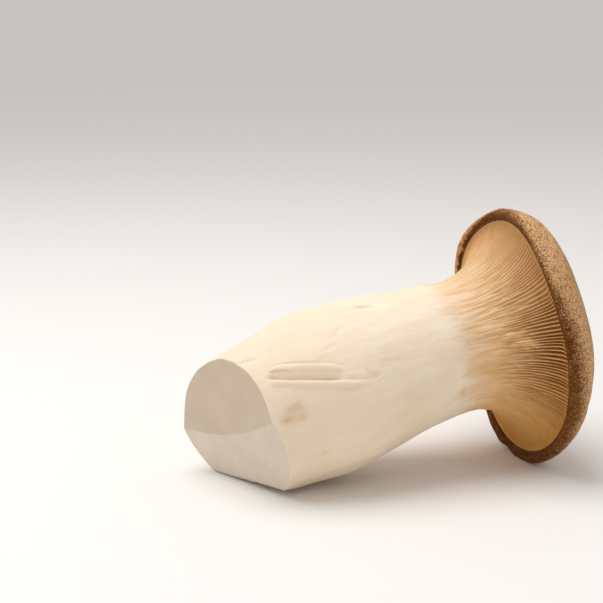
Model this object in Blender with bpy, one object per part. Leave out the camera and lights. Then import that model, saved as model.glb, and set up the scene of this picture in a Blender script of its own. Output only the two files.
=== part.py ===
"""A king oyster mushroom, picked whole, its base trimmed with a knife, lying on its side.

Metres, +Z up. The surface that it lies on is z = 0. The stem runs along X, from the trimmed
base at -X to the cap at +X, and -Y is the side with the scar in the stem's skin.
The body is one loft of rings along a gently bent spine. A place on it is given by its distance
along the spine from the base and by its turn round the spine: 0 is up, 0.25 is -Y, 0.5 is down.
"""

import math

import bmesh
import bpy
from mathutils import Matrix, Vector

# Driving dimensions
NECK_RADIUS = 0.0180
CAP_RADIUS = 0.0350
CAP_RISE = 0.0155  # from the margin's widest ring to the top of the cap
MARGIN_AT = 0.0808  # distance along the spine of the margin's widest ring
LENGTH = MARGIN_AT + CAP_RISE

# The spine rises from the base to the cap, more steeply near the base
BASE_LEAN = math.radians(22.3)
CAP_LEAN = math.radians(3.3)
FLAT_DEPTH = 0.0006  # how far the flesh is pressed flat where it touches the surface

# Stem: distance along the spine and radius, up to where the gills begin
STEM_OUTLINE = (
    (-0.0150, 0.0190),
    (-0.0020, 0.0194),
    (0.0090, 0.0207),
    (0.0230, 0.0226),
    (0.0370, 0.0211),
    (0.0500, 0.0190),
    (0.0620, NECK_RADIUS),
)
STEM_ROWS = 14

# Gills: they line a flare shaped as part of an ellipse, from the neck to the rolled margin
GILLS = 88
GILL_COLUMNS = 3
CREST_PLACE = 0.73  # of a gill's share of the turn
VALLEY_END = 0.46  # the valley before a crest has a flat floor up to here
GILL_ROWS = 10
GILL_DEPTH = 0.0019
FLARE_TURN = math.radians(78.0)
FADE_IN = 0.5  # share of the flare over which the valleys deepen, from the neck
FADE_OUT = 0.12  # and over which they end at the margin
SHORT_GILL_STARTS = (0.0, 0.55, 0.25, 0.65)  # share of the flare, repeated round the cap
SHORT_GILL_RISE = 0.25  # share of the flare over which a short gill reaches its full height

# Rolled margin: part of an ellipse, from the gills' outer edge to the widest ring
LIP_WIDTH = 0.0023
LIP_DROP = 0.0018  # how far the margin's rim reaches below its widest ring
LIP_TURN = math.radians(163.0)
LIP_ROWS = 5

# Cap: its outline from the margin to the top is a superellipse
DOME_POWER = 2.0
DOME_ROWS = 9

# Unevenness: (waves round the turn, share of the radius or metres along the spine, phase in turns)
STEM_WAVES = ((2, 0.005, 0.15),)
CAP_WAVES = ((1, 0.010, 0.311), (2, 0.013, 0.461), (3, 0.036, 0.153), (4, 0.017, 0.040), (5, 0.004, 0.0))
MARGIN_WAVES = ((1, 0.0006, 0.614), (2, 0.0008, 0.382), (3, 0.0006, 0.005))
BASE_BULGE = 0.047  # share of the radius by which the base stands out to its far side
BASE_BULGE_TURN = 0.724
BASE_BULGE_FROM = -0.010  # whole at this distance along the spine, and gone at the next
BASE_BULGE_TO = 0.032

# Knife cuts at the base: (turn, lean of the cut from square, distance from CUT_CENTRE)
CUT_CENTRE = 0.025
KNIFE_CUTS = (
    (0.171, math.radians(22.6), 0.0260),
    (0.287, math.radians(23.5), 0.0259),
    (0.480, math.radians(66.9), 0.0252),
)

# Scar: a scooped groove in the skin, running down from the base's side towards the cap
SCAR_ALONG = 0.0172
SCAR_TURN = 0.146
SCAR_SLANT = math.radians(29.0)
SCAR_SIZE = (0.0120, 0.0027, 0.0024)  # half sizes along, across and into the stem
SCAR_LIFT = 0.0004  # of the groove's centre line above the skin

# Finishes: colour and roughness
CAP, GILL, STEM, CUT = range(4)
FINISHES = (
    ("cap_skin", (0.42, 0.25, 0.13, 1.0), 0.75),
    ("gill_flesh", (0.60, 0.38, 0.18, 1.0), 0.70),
    ("stem_skin", (0.85, 0.76, 0.60, 1.0), 0.60),
    ("cut_flesh", (0.80, 0.70, 0.56, 1.0), 0.65),
)
SHARP_ANGLE = math.radians(35.0)


def clear_scene():
    for obj in list(bpy.data.objects):
        bpy.data.objects.remove(obj)


def spine(along):
    """The spine's point, its direction and the direction square to it that faces up."""
    bend = (CAP_LEAN - BASE_LEAN) / LENGTH
    lean = BASE_LEAN + bend * along
    x = (math.sin(lean) - math.sin(BASE_LEAN)) / bend
    z = (math.cos(BASE_LEAN) - math.cos(lean)) / bend
    direction = Vector((math.cos(lean), 0.0, math.sin(lean)))
    up = Vector((-math.sin(lean), 0.0, math.cos(lean)))
    return Vector((x, 0.0, z)), direction, up


def outward(up, turn):
    """The direction away from the spine at a turn round it."""
    angle = math.tau * turn
    return math.cos(angle) * up - math.sin(angle) * Vector((0.0, 1.0, 0.0))


def waves(table, turn):
    return sum(size * math.cos(math.tau * count * (turn - phase)) for count, size, phase in table)


def smooth(value):
    value = min(1.0, max(0.0, value))
    return value * value * (3.0 - 2.0 * value)


def surface(along, radius, turn):
    """A point of the body, made uneven: the stem and the cap each have waves of their own."""
    cap_share = 1.0
    if along < MARGIN_AT:
        cap_share = smooth((radius - NECK_RADIUS) / (CAP_RADIUS - NECK_RADIUS))
    base_share = smooth((BASE_BULGE_TO - along) / (BASE_BULGE_TO - BASE_BULGE_FROM))
    bulge = base_share * BASE_BULGE * math.cos(math.tau * (turn - BASE_BULGE_TURN))
    swell = (1.0 - cap_share) * waves(STEM_WAVES, turn) + cap_share * waves(CAP_WAVES, turn) + bulge
    edge_share = cap_share * min(1.0, radius / CAP_RADIUS)
    point, _, up = spine(along + edge_share * waves(MARGIN_WAVES, turn))
    return point + radius * (1.0 + swell) * outward(up, turn)


def stem_radius(along):
    """A smooth curve through the stem's outline."""
    last = len(STEM_OUTLINE) - 1
    i = max(k for k in range(last) if STEM_OUTLINE[k][0] <= along)
    start, end = STEM_OUTLINE[i], STEM_OUTLINE[i + 1]

    def slope(k):
        before, after = STEM_OUTLINE[max(k - 1, 0)], STEM_OUTLINE[min(k + 1, last)]
        return (after[1] - before[1]) / (after[0] - before[0])

    gap = end[0] - start[0]
    f = (along - start[0]) / gap
    rise = gap * (f * (1.0 - f) ** 2 * slope(i) - f * f * (1.0 - f) * slope(i + 1))
    return start[1] + smooth(f) * (end[1] - start[1]) + rise


def stem_ring(row):
    start, end = STEM_OUTLINE[0][0], STEM_OUTLINE[-1][0]
    along = start + (end - start) * row / STEM_ROWS
    return along, stem_radius(along)


def flare(share):
    """Distance along the spine, radius and outward normal of the gills' crests, from neck to margin."""
    start = STEM_OUTLINE[-1][0]
    end, end_radius = lip_ring(0)
    depth = (end - start) / math.sin(FLARE_TURN)
    width = (end_radius - NECK_RADIUS) / (1.0 - math.cos(FLARE_TURN))
    angle = share * FLARE_TURN
    along = start + depth * math.sin(angle)
    radius = NECK_RADIUS + width * (1.0 - math.cos(angle))
    normal = Vector((-width * math.sin(angle), depth * math.cos(angle))).normalized()
    return along, radius, normal


def gill_relief(gill, share):
    """Depth of the valleys, and how far a gill's crest stands below the flare."""
    depth = GILL_DEPTH * smooth(share / FADE_IN) * smooth((1.0 - share) / FADE_OUT)
    start = SHORT_GILL_STARTS[gill % len(SHORT_GILL_STARTS)]
    height = 1.0 if start == 0.0 else smooth((share - start) / SHORT_GILL_RISE)
    return depth, depth * (1.0 - height)


def gill_ring(share):
    """One ring across every gill: two points on each valley's floor and one on each crest."""
    along, radius, normal = flare(share)
    points = []
    for gill in range(GILLS):
        depth, drop = gill_relief(gill, share)
        for place, sink in ((0.0, depth), (VALLEY_END, depth), (CREST_PLACE, drop)):
            turn = (gill + place) / GILLS
            points.append(surface(along - sink * normal[0], radius - sink * normal[1], turn))
    return points


def lip_ring(row):
    """The rolled margin, from the gills' outer edge to the widest ring."""
    angle = (1.0 - row / LIP_ROWS) * LIP_TURN
    along = MARGIN_AT - LIP_DROP * math.sin(angle)
    return along, CAP_RADIUS - 0.5 * LIP_WIDTH * (1.0 - math.cos(angle))


def dome_ring(row):
    angle = row / DOME_ROWS * math.pi / 2
    power = 2.0 / DOME_POWER
    return MARGIN_AT + CAP_RISE * math.sin(angle) ** power, CAP_RADIUS * math.cos(angle) ** power


def plain_ring(along, radius):
    return [surface(along, radius, (gill + CREST_PLACE) / GILLS) for gill in range(GILLS)]


def skin(bm, one, other, material):
    """Faces between two rings, where one may have several corners for each corner of the other."""
    if len(other) < len(one):
        one, other = other, one
    per = len(other) // len(one)
    offset = per - 1  # a coarse ring's corner faces a gill's crest
    for i in range(len(one)):
        near, after = one[i], one[(i + 1) % len(one)]
        fine = [other[(per * i + offset + k) % len(other)] for k in range(per + 1)]
        faces = [(near, fine[0], fine[1], after)]
        if per == GILL_COLUMNS:
            faces = [(near, fine[0], fine[1]), (near, fine[1], fine[2], after), (after, fine[2], fine[3])]
        for corners in faces:
            bm.faces.new(corners).material_index = material


def loft(bm):
    """The whole body, from the uncut base to the top of the cap."""
    rings = [(plain_ring(*stem_ring(row)), STEM) for row in range(STEM_ROWS + 1)]
    rings += [(gill_ring((row + 1) / GILL_ROWS), GILL) for row in range(GILL_ROWS - 1)]
    rings += [(plain_ring(*lip_ring(row)), CAP if row else GILL) for row in range(LIP_ROWS + 1)]
    rings += [(plain_ring(*dome_ring(row)), CAP) for row in range(1, DOME_ROWS)]
    made = [[bm.verts.new(point) for point in points] for points, _ in rings]
    for i in range(len(made) - 1):
        skin(bm, made[i], made[i + 1], rings[i + 1][1])
    bm.faces.new(made[0]).material_index = CUT
    top = bm.verts.new(spine(LENGTH)[0])
    for i, corner in enumerate(made[-1]):
        bm.faces.new((corner, made[-1][(i + 1) % GILLS], top)).material_index = CAP
    bmesh.ops.recalc_face_normals(bm, faces=bm.faces)


def slice_off(bm, point, normal, material):
    """Cuts away what lies past a plane and closes the cut."""
    geometry = bm.verts[:] + bm.edges[:] + bm.faces[:]
    cut = bmesh.ops.bisect_plane(bm, geom=geometry, dist=1e-7, plane_co=point, plane_no=normal, clear_outer=True)
    edges = [e for e in cut["geom_cut"] if isinstance(e, bmesh.types.BMEdge)]
    for face in bmesh.ops.holes_fill(bm, edges=edges, sides=0)["faces"]:
        face.material_index = material


def trim_base(bm):
    centre, direction, up = spine(CUT_CENTRE)
    for turn, lean, reach in KNIFE_CUTS:
        normal = math.sin(lean) * outward(up, turn) - math.cos(lean) * direction
        slice_off(bm, centre + reach * normal, normal, CUT)


def lay_down(bm):
    """Moves the body so that it presses a little into the surface, and flattens it there."""
    drop = -min(v.co.z for v in bm.verts) - FLAT_DEPTH
    bmesh.ops.translate(bm, verts=bm.verts, vec=(0.0, 0.0, drop))
    slice_off(bm, (0.0, 0.0, 0.0), (0.0, 0.0, -1.0), STEM)
    xs = [v.co.x for v in bm.verts]
    ys = [v.co.y for v in bm.verts]
    shift = Vector((-(min(xs) + max(xs)) / 2, -(min(ys) + max(ys)) / 2, 0.0))
    bmesh.ops.translate(bm, verts=bm.verts, vec=shift)
    return shift + Vector((0.0, 0.0, drop))


def principled(name, colour, roughness):
    material = bpy.data.materials.new(name)
    material.use_nodes = True
    shader = material.node_tree.nodes["Principled BSDF"]
    shader.inputs["Base Color"].default_value = colour
    shader.inputs["Roughness"].default_value = roughness
    material.diffuse_color = colour
    return material


def add_scar(body, moved, collection, flesh):
    """The groove's cutter: an ellipsoid half sunk in the skin."""
    _, direction, up = spine(SCAR_ALONG)
    away = outward(up, SCAR_TURN)
    sideways = direction.cross(away)
    lengthwise = math.cos(SCAR_SLANT) * direction + math.sin(SCAR_SLANT) * sideways
    axes = Matrix((lengthwise, away.cross(lengthwise), away)).transposed()
    bpy.ops.mesh.primitive_uv_sphere_add(segments=24, ring_count=12)
    cutter = bpy.context.object
    cutter.name = "scar_cutter"
    cutter.data.transform(axes.to_4x4() @ Matrix.Diagonal(SCAR_SIZE).to_4x4())
    cutter.location = surface(SCAR_ALONG, stem_radius(SCAR_ALONG) + SCAR_LIFT, SCAR_TURN) + moved
    cutter.data.materials.append(flesh)
    cutter.hide_render = True
    cutter.display_type = "WIRE"
    for owner in list(cutter.users_collection):
        owner.objects.unlink(cutter)
    collection.objects.link(cutter)
    groove = body.modifiers.new("scar", "BOOLEAN")
    groove.operation = "DIFFERENCE"
    groove.object = cutter


def main():
    clear_scene()
    parts = bpy.data.collections.new("king_oyster_mushroom")
    cutters = bpy.data.collections.new("cutters")
    for collection in (parts, cutters):
        bpy.context.scene.collection.children.link(collection)
    materials = [principled(*finish) for finish in FINISHES]

    bm = bmesh.new()
    loft(bm)
    trim_base(bm)
    moved = lay_down(bm)
    mesh = bpy.data.meshes.new("mushroom")
    bm.to_mesh(mesh)
    bm.free()
    for material in materials:
        mesh.materials.append(material)
    body = bpy.data.objects.new("mushroom", mesh)
    parts.objects.link(body)
    mesh.shade_smooth()
    mesh.set_sharp_from_angle(angle=SHARP_ANGLE)
    add_scar(body, moved, cutters, materials[CUT])


main()
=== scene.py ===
"""The looks of a king oyster mushroom that lies on its side: skin, knife cuts, gills, cap and light.

Metres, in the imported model's frame. The mushroom is one closed mesh, woven from rings round a
gently bent spine. A place on it has a distance along the spine from the base, a radius and a turn
round the spine: 0 is up, 0.25 is -Y, 0.5 is down. Relief is added to the radius before the place
is worked out, and noise is read in the straightened body, so that both follow its bend.
"""

import math

import bpy
import numpy as np
from mathutils import Matrix, Vector, noise


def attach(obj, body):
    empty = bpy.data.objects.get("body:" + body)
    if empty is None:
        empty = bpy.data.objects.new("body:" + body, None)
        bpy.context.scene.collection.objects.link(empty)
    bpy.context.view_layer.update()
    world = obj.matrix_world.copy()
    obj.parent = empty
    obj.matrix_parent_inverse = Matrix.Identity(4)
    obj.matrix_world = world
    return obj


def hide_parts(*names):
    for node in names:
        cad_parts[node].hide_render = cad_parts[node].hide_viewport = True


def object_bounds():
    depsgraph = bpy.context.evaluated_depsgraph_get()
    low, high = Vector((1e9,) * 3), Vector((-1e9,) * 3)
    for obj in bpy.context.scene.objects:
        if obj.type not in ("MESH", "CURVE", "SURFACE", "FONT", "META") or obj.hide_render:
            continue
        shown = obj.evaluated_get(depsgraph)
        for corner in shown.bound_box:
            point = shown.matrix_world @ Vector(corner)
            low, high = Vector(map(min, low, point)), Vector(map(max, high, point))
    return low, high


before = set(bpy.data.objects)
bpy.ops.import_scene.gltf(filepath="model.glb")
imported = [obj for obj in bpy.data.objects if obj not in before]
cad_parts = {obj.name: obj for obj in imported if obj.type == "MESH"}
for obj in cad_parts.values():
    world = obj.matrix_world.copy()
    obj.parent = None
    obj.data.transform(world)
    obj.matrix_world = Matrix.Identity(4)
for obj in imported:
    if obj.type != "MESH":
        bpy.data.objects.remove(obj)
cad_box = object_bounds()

MM = 0.001

# The body's outline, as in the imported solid; the stem's is (distance along the spine, radius)
NECK_RADIUS = 18.0 * MM
CAP_RADIUS = 35.0 * MM
CAP_RISE = 15.5 * MM
MARGIN_AT = 80.8 * MM
LENGTH = MARGIN_AT + CAP_RISE
BASE_LEAN = math.radians(22.3)
CAP_LEAN = math.radians(3.3)
FLAT_DEPTH = 0.6 * MM  # how much the rests are pressed flat
STEM_OUTLINE = (
    (-0.0150, 0.0190),
    (-0.0020, 0.0194),
    (0.0090, 0.0207),
    (0.0230, 0.0225),
    (0.0370, 0.0211),
    (0.0500, 0.0190),
    (0.0620, NECK_RADIUS),
)
FLARE_FROM = STEM_OUTLINE[-1][0]
FLARE_TURN = math.radians(78.0)
LIP_WIDTH = 2.3 * MM
LIP_DROP = 1.8 * MM
LIP_TURN = math.radians(163.0)

# Unevenness: (waves round the turn, share of the radius or metres along the spine, phase in turns)
STEM_WAVES = ((2, 0.005, 0.15),)
CAP_WAVES = (
    (1, 0.010, 0.311),
    (2, 0.013, 0.461),
    (3, 0.036, 0.153),
    (4, 0.017, 0.040),
    (5, 0.004, 0.0),
)
MARGIN_WAVES = ((1, 0.0006, 0.614), (2, 0.0008, 0.382), (3, 0.0006, 0.005))
LIP_WAVES = ((1, 0.30 * MM, 0.45), (2, 0.45 * MM, 0.42))  # how unevenly far the rim reaches down
BASE_BULGE = 0.047  # the base is wider by this share on one side
BASE_BULGE_TURN = 0.724
BASE_BULGE_FROM = -10.0 * MM
BASE_BULGE_TO = 32.0 * MM

# Knife cuts: (turn, lean from square, distance from the spine's point at CUT_CENTRE)
CUT_CENTRE = 25.0 * MM
KNIFE_CUTS = (
    (0.171, math.radians(22.6), 26.0 * MM),
    (0.287, math.radians(23.5), 25.9 * MM),
    (0.480, math.radians(66.9), 25.2 * MM),
)
CUT_HOLLOW = 0.32 * MM  # the first cut is this much hollow in its middle
CUT_HOLLOW_MIDDLE = 8.5 * MM
CUT_HOLLOW_REACH = 13.0 * MM
CUT_BLEND = 0.12 * MM  # how far the rounding reaches where two cuts meet
CUT_GRAIN = (5.0 * MM, 0.05 * MM)  # size and height of the cut faces' unevenness
CUT_SEARCH_TO = 32.0 * MM  # the stem's side meets every cut before this distance along the spine
CUT_SEARCH_STEPS = 260
MIDDLE_SEARCH = 0.7 * CUT_HOLLOW_REACH  # the middle of the cut faces is looked for this far each way
MIDDLE_SEARCH_STEPS = 701
FACET_BLUR = 0.15 * MM  # the width over which one cut's colour gives way to the next one's

# Mesh: columns round the body, rows of each zone, and a gill's six columns
COLUMNS = 360
GILLS = 180
GILL_PLACES = np.array((0.0, 0.29, 0.37, 0.50, 0.63, 0.71))
GILL_HEIGHTS = np.array((0.0, 0.05, 0.90, 1.0, 0.90, 0.05))
FACE_ROWS = 26
FACE_EDGE_STEPS = (0.9925, 0.980)  # share of the way from the middle of the cut to its edge
STEM_EDGE_STEPS = (0.25 * MM, 0.7 * MM)  # first rows past the edge of the cut
EDGE_INSET = 0.12 * MM
STEM_ROWS = 80
GILL_ROWS = 36
LIP_ROWS = 13
DOME_ROWS = 32

# Relief made by noise: (length along, width across, height, seed)
FOLDS = (
    (34.0 * MM, 8.0 * MM, 0.34 * MM, 0),
    (15.0 * MM, 3.2 * MM, 0.13 * MM, 1),
    (9.0 * MM, 0.9 * MM, 0.030 * MM, 2),
)
GILL_SWELLING = ((9.0 * MM, 5.0 * MM, 0.12 * MM, 33),)
LIP_LUMPS = (
    (8.0 * MM, 6.0 * MM, 0.28 * MM, 40),
    (3.0 * MM, 1.8 * MM, 0.10 * MM, 41),
)
LIP_TEARS = ((1.0, 4.2 * MM, 1.0 * MM, 42),)  # changes only round the margin
DOME_LUMPS = (
    (15.0 * MM, 15.0 * MM, 0.45 * MM, 50),
    (4.5 * MM, 4.5 * MM, 0.12 * MM, 51),
    (1.6 * MM, 1.6 * MM, 0.03 * MM, 52),
)
DOME_SINK = 0.3 * MM  # keeps the dome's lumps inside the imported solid
DOME_RAMP = 0.25
LIP_TEAR_TURNS = (0.48, 0.72, 0.06)  # where the rim is torn: start, end and ramp
LIP_RAMP = 0.7  # radians over which the rim's relief begins at the gills

# Other noises: (length along, width across, seed)
STAIN_NOISE = (2.5 * MM, 1.6 * MM, 20)
WANDER_NOISE = (14.0 * MM, 9.0 * MM, 30)
DRIFT_NOISE = (16.0 * MM, 5.0 * MM, 31)
CREST_NOISE = (5.0 * MM, 1.2 * MM, 32)
KNOT_NOISE = (2.4 * MM, 1.6 * MM, 35)
BAND_NOISE = (0.4, 2.0 * MM, 60)  # its length is in the band's own measure
SEED_STEP = 17.3  # keeps the noises of two seeds apart

STEM_END = 54.5 * MM  # the gills' ridges begin here as faint lines
STEM_RELIEF_RAMP = 7.0 * MM
SPOT_REACH = 1.5  # a mark fades out this many half sizes from its middle

# Scar: a slit whose bed slopes in from its upper lip and ends at a raised lower lip. Its axis bends.
# Sections are (millimetres across, downwards, and millimetres of height)
SCAR_ALONG = 17.2 * MM
SCAR_TURN = 0.145
SCAR_SLANT = math.radians(28.6)
SCAR_BEND = 6.5  # how far across the axis bends, per metre of its length squared
SCAR_HALF = 9.0 * MM
SCAR_TIP = 1.02 * SCAR_HALF  # the bed narrows towards this distance from its middle
SCAR_LEAST = 0.10  # its least share of its full width, squared
SCAR_RAMP = 1.3 * MM
SCAR_BED = (
    (-3.6, 0.0),
    (-2.75, -0.02),
    (-2.4, -0.16),
    (-2.1, 0.06),
    (-1.75, 0.20),
    (-1.3, 0.22),
    (-0.8, 0.10),
    (-0.2, -0.20),
    (0.6, -0.50),
    (1.4, -0.86),
    (1.9, -1.05),
    (2.05, -0.95),
    (2.3, 0.05),
    (2.6, 0.0),
)
LOWER_LIP = ((1.9, 0.0), (2.2, 0.24), (2.6, 0.46), (3.2, 0.50), (3.8, 0.26), (4.3, 0.04), (5.2, 0.0))
LOWER_LIP_ENDS = (-8.8 * MM, 18.0 * MM)
LOWER_LIP_RAMPS = (1.5 * MM, 5.0 * MM)
SIDE_BED = ((-1.2, 0.0), (-0.5, 0.08), (0.3, 0.04), (1.4, -0.08), (1.9, -0.10), (2.2, 0.0))
SIDE_BED_ENDS = (8.6 * MM, 18.8 * MM)
SIDE_BED_RAMP = 2.5 * MM
# Small marks round the scar: (length, across, half length, half width, height or strength)
SCAR_PITS = (
    (17.6 * MM, 1.2 * MM, 0.9 * MM, 0.5 * MM, -0.30 * MM),
    (12.6 * MM, 0.9 * MM, 3.2 * MM, 0.9 * MM, 0.20 * MM),
    (10.8 * MM, 4.2 * MM, 3.4 * MM, 0.6 * MM, -0.18 * MM),
    (-8.4 * MM, 1.6 * MM, 0.8 * MM, 0.5 * MM, -0.25 * MM),
)
SCAR_STAINS = (
    (-8.5 * MM, 0.0, 0.7 * MM, 0.32 * MM, 1.0),
    (-6.2 * MM, -0.35 * MM, 2.4 * MM, 0.30 * MM, 0.6),
)
# Dark lines of painted shade where the scar's skin folds under
SCAR_SHADE_LINES = (  # (across, half width, start, end, strength)
    (1.90 * MM, 0.30 * MM, -8.2 * MM, 9.6 * MM, 1.00),
    (-2.42 * MM, 0.30 * MM, -5.6 * MM, 4.4 * MM, 0.60),
)
SCAR_SHADE_LINE_RAMPS = (1.2 * MM, 4.5 * MM)

# Columns near the scar: how far along it they are moved, drawn together by which share, and slanted
NEAR_SCAR = (SCAR_ALONG - 32.0 * MM, SCAR_ALONG + 30.0 * MM, 17.0 * MM)
COLUMNS_CLOSER = 0.45
COLUMNS_CLOSER_TURN = 0.08
COLUMNS_SLANT_TURN = 0.13
COLUMNS_SLANT_ENDS = (-16.0 * MM, 20.0 * MM)

# Dimples and short creases: (along, turn, half length, half width, slant, height)
DIMPLES = (
    (14.2 * MM, 0.311, 1.5 * MM, 0.7 * MM, 0.0, -0.22 * MM),
    (56.0 * MM, 0.309, 1.0 * MM, 0.6 * MM, 1.2, -0.25 * MM),
    (36.5 * MM, 0.192, 1.3 * MM, 0.5 * MM, 0.3, -0.20 * MM),
    (6.6 * MM, 0.057, 2.4 * MM, 0.45 * MM, 0.45, -0.30 * MM),
    (25.0 * MM, 0.121, 2.6 * MM, 0.45 * MM, -0.15, -0.26 * MM),
    (22.4 * MM, 0.134, 1.5 * MM, 0.45 * MM, -0.75, -0.20 * MM),
    (31.9 * MM, 0.2005, 2.6 * MM, 0.45 * MM, 1.09, -0.26 * MM),
    (38.1 * MM, 0.041, 1.8 * MM, 0.7 * MM, 0.3, -0.30 * MM),
    (29.6 * MM, 0.092, 3.2 * MM, 0.8 * MM, -0.45, -0.26 * MM),
    (38.2 * MM, 0.185, 3.2 * MM, 0.5 * MM, 0.25, -0.20 * MM),
    (45.0 * MM, 0.600, 2.2 * MM, 0.9 * MM, 0.2, -0.20 * MM),
    (30.0 * MM, 0.850, 3.5 * MM, 0.8 * MM, 0.1, -0.22 * MM),
    (19.0 * MM, 0.700, 2.8 * MM, 0.5 * MM, -0.2, -0.26 * MM),
)
# Stains: the same, with strength
STAINS = (
    (10.4 * MM, 0.2060, 3.1 * MM, 2.6 * MM, -0.5, 0.62),
    (11.4 * MM, 0.2000, 1.8 * MM, 1.7 * MM, 0.0, 0.72),
    (8.4 * MM, 0.2120, 1.9 * MM, 1.1 * MM, 0.3, 0.90),
    (10.8 * MM, 0.2150, 2.2 * MM, 1.2 * MM, 0.3, 0.82),
    (38.1 * MM, 0.041, 2.1 * MM, 0.8 * MM, 0.3, 1.10),
    (56.0 * MM, 0.309, 0.6 * MM, 1.4 * MM, 0.0, 1.60),
    (14.2 * MM, 0.311, 1.4 * MM, 0.8 * MM, 0.0, 0.30),
    (34.0 * MM, 0.560, 3.0 * MM, 2.2 * MM, 0.0, 0.50),
    (21.0 * MM, 0.790, 2.6 * MM, 1.6 * MM, 0.0, 0.60),
)
STAIN_RAGGED = 0.5

# Gills: they run from GILL_BEGIN, a share of the flare before the neck, to the margin
GILL_BEGIN = -0.29
FLARE_STRETCH = 26.0 * MM
GILL_DEPTH = 2.0 * MM
GILL_SEED = 7
GILL_NOISE_RADIUS = 24.0 * MM  # noise that follows whole gills is read at this radius
FULL_STARTS = (-0.12, 0.18)  # ranges of share where full, middle and short gills begin
MIDDLE_STARTS = (0.06, 0.34)
SHORT_STARTS = (0.22, 0.54)
START_RAMP = 0.16
FORK_RAMP = 0.30
FORK_SIDES = (0.3, 1.0)  # how far a gill leans to the side where it forks off
FORK_BOW = 0.75
WANDER_SHARE = 0.8
DRIFT_GILLS = 1.1  # how many gills' widths the gills drift sideways
SETTLE_RAMP = 0.12  # over this share the relief settles into its neighbours at both ends
CREST_MEAN = 0.86
CREST_SPREAD = 0.28
CREST_LEAST = 0.55
# the painted shade in the gills' valleys is also darkest on this side
NEAR_TURN = 0.285  # the gills are deepest and darkest on this side
FAR_DEPTH = 0.25  # their depth on the far side, as a share
NEAR_DEPTH_POWER = 4
DEEPENING_POWER = 1.6
MARGIN_RAMP = 0.06
# Painted shade in the gills' valleys: its strength on the far side, how it grows towards the near side,
# and its gain
FAR_VALLEY_SHADE = 0.08  # how dark the valleys are on the far side
NEAR_VALLEY_SHADE_POWER = 7
VALLEY_SHADE_GAIN = 1.35
WRINKLE_HEIGHT = 0.46 * MM  # of the uneven flesh between the stem and the gills
WRINKLES = ((6.5 * MM, 1.1 * MM, 1.0, 34), (2.6 * MM, 0.8 * MM, 0.5, 36))
WRINKLED = (-0.20, 0.80, 0.35)  # where: start, end and ramp, as shares
FAR_WRINKLES = 0.35
WRINKLE_SHADE = 0.18
KNOTS = (  # share, turn, their half sizes, and height
    (0.50, 0.227, 0.105, 0.0080, 0.20 * MM),
    (0.36, 0.205, 0.095, 0.0065, 0.18 * MM),
    (0.20, 0.180, 0.090, 0.0080, 0.16 * MM),
)
KNOT_RAGGED = 1.1
KNOT_FILL = 0.7  # how far a lump fills the valleys between its gills

# Brown band at the margin, partly the skin's own brown and partly painted shade, wide on the shaded
# near, lower side and narrow on the left, which keeps the shaded lip there lighter: its width by turn,
# where 1 reaches from the gills to the widest ring
BAND_AND_SHADE_WIDTHS = (
    (0.00, 1.20),
    (0.08, 0.85),
    (0.15, 1.00),
    (0.22, 1.60),
    (0.30, 1.80),
    (0.38, 1.50),
    (0.46, 1.20),
    (0.55, 1.30),
    (0.64, 0.80),
    (0.70, 0.22),
    (0.80, 0.12),
    (0.90, 0.25),
    (1.00, 1.20),
)
BAND_STRETCH = 3.3
BAND_RAGGED = 0.18
BAND_SOLID = 0.4  # share of its width where the band is at its full strength


def smooth(value):
    """From 0 to 1 while the value goes from 0 to 1, with a level start and end."""
    value = np.clip(value, 0.0, 1.0)
    return value * value * (3.0 - 2.0 * value)


def window(value, start, end, ramp, last_ramp=None):
    """1 between start and end, with a ramp just inside each."""
    return smooth((value - start) / ramp) * smooth((end - value) / (last_ramp or ramp))


def at_least(least, amount):
    """From least, where the amount is 0, to 1, where it is 1."""
    return least + (1.0 - least) * amount


def waves(table, turn):
    """The sum of several waves round the turn."""
    return sum(size * np.cos(math.tau * count * (turn - phase)) for count, size, phase in table)


def spine(along):
    """The spine's point, its direction and the direction square to it that faces up."""
    along = np.asarray(along, float)
    bend = (CAP_LEAN - BASE_LEAN) / LENGTH
    lean = BASE_LEAN + bend * along
    none = np.zeros_like(lean)
    x = (np.sin(lean) - math.sin(BASE_LEAN)) / bend
    z = (math.cos(BASE_LEAN) - np.cos(lean)) / bend
    point = np.stack((x, none, z), -1)
    direction = np.stack((np.cos(lean), none, np.sin(lean)), -1)
    up = np.stack((-np.sin(lean), none, np.cos(lean)), -1)
    return point, direction, up


def outward(up, turn):
    """The direction away from the spine at a turn."""
    angle = math.tau * np.asarray(turn)[..., None]
    return np.cos(angle) * up - np.sin(angle) * np.array((0.0, 1.0, 0.0))


def surface(along, radius, turn):
    """Points of the body, made uneven by the stem's waves, the cap's waves and the base's bulge."""
    along, radius, turn = np.broadcast_arrays(along, radius, turn)
    share = smooth((radius - NECK_RADIUS) / (CAP_RADIUS - NECK_RADIUS))
    cap_share = np.where(along > MARGIN_AT, 1.0, np.where(along < FLARE_FROM, 0.0, share))
    bulge = smooth((BASE_BULGE_TO - along) / (BASE_BULGE_TO - BASE_BULGE_FROM))
    bulge = bulge * BASE_BULGE * np.cos(math.tau * (turn - BASE_BULGE_TURN))
    swell = (1.0 - cap_share) * waves(STEM_WAVES, turn) + cap_share * waves(CAP_WAVES, turn) + bulge
    edge_share = cap_share * np.clip(radius / CAP_RADIUS, 0.0, 1.0)
    point, _, up = spine(along + edge_share * waves(MARGIN_WAVES, turn))
    return point + (radius * (1.0 + swell))[..., None] * outward(up, turn)


def straightened(along, radius, turn):
    """The same places in the body as if its spine were straight."""
    along, radius, turn = np.broadcast_arrays(along, radius, turn)
    angle = math.tau * turn
    return np.stack((along, radius * np.cos(angle), radius * np.sin(angle)), -1)


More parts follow.
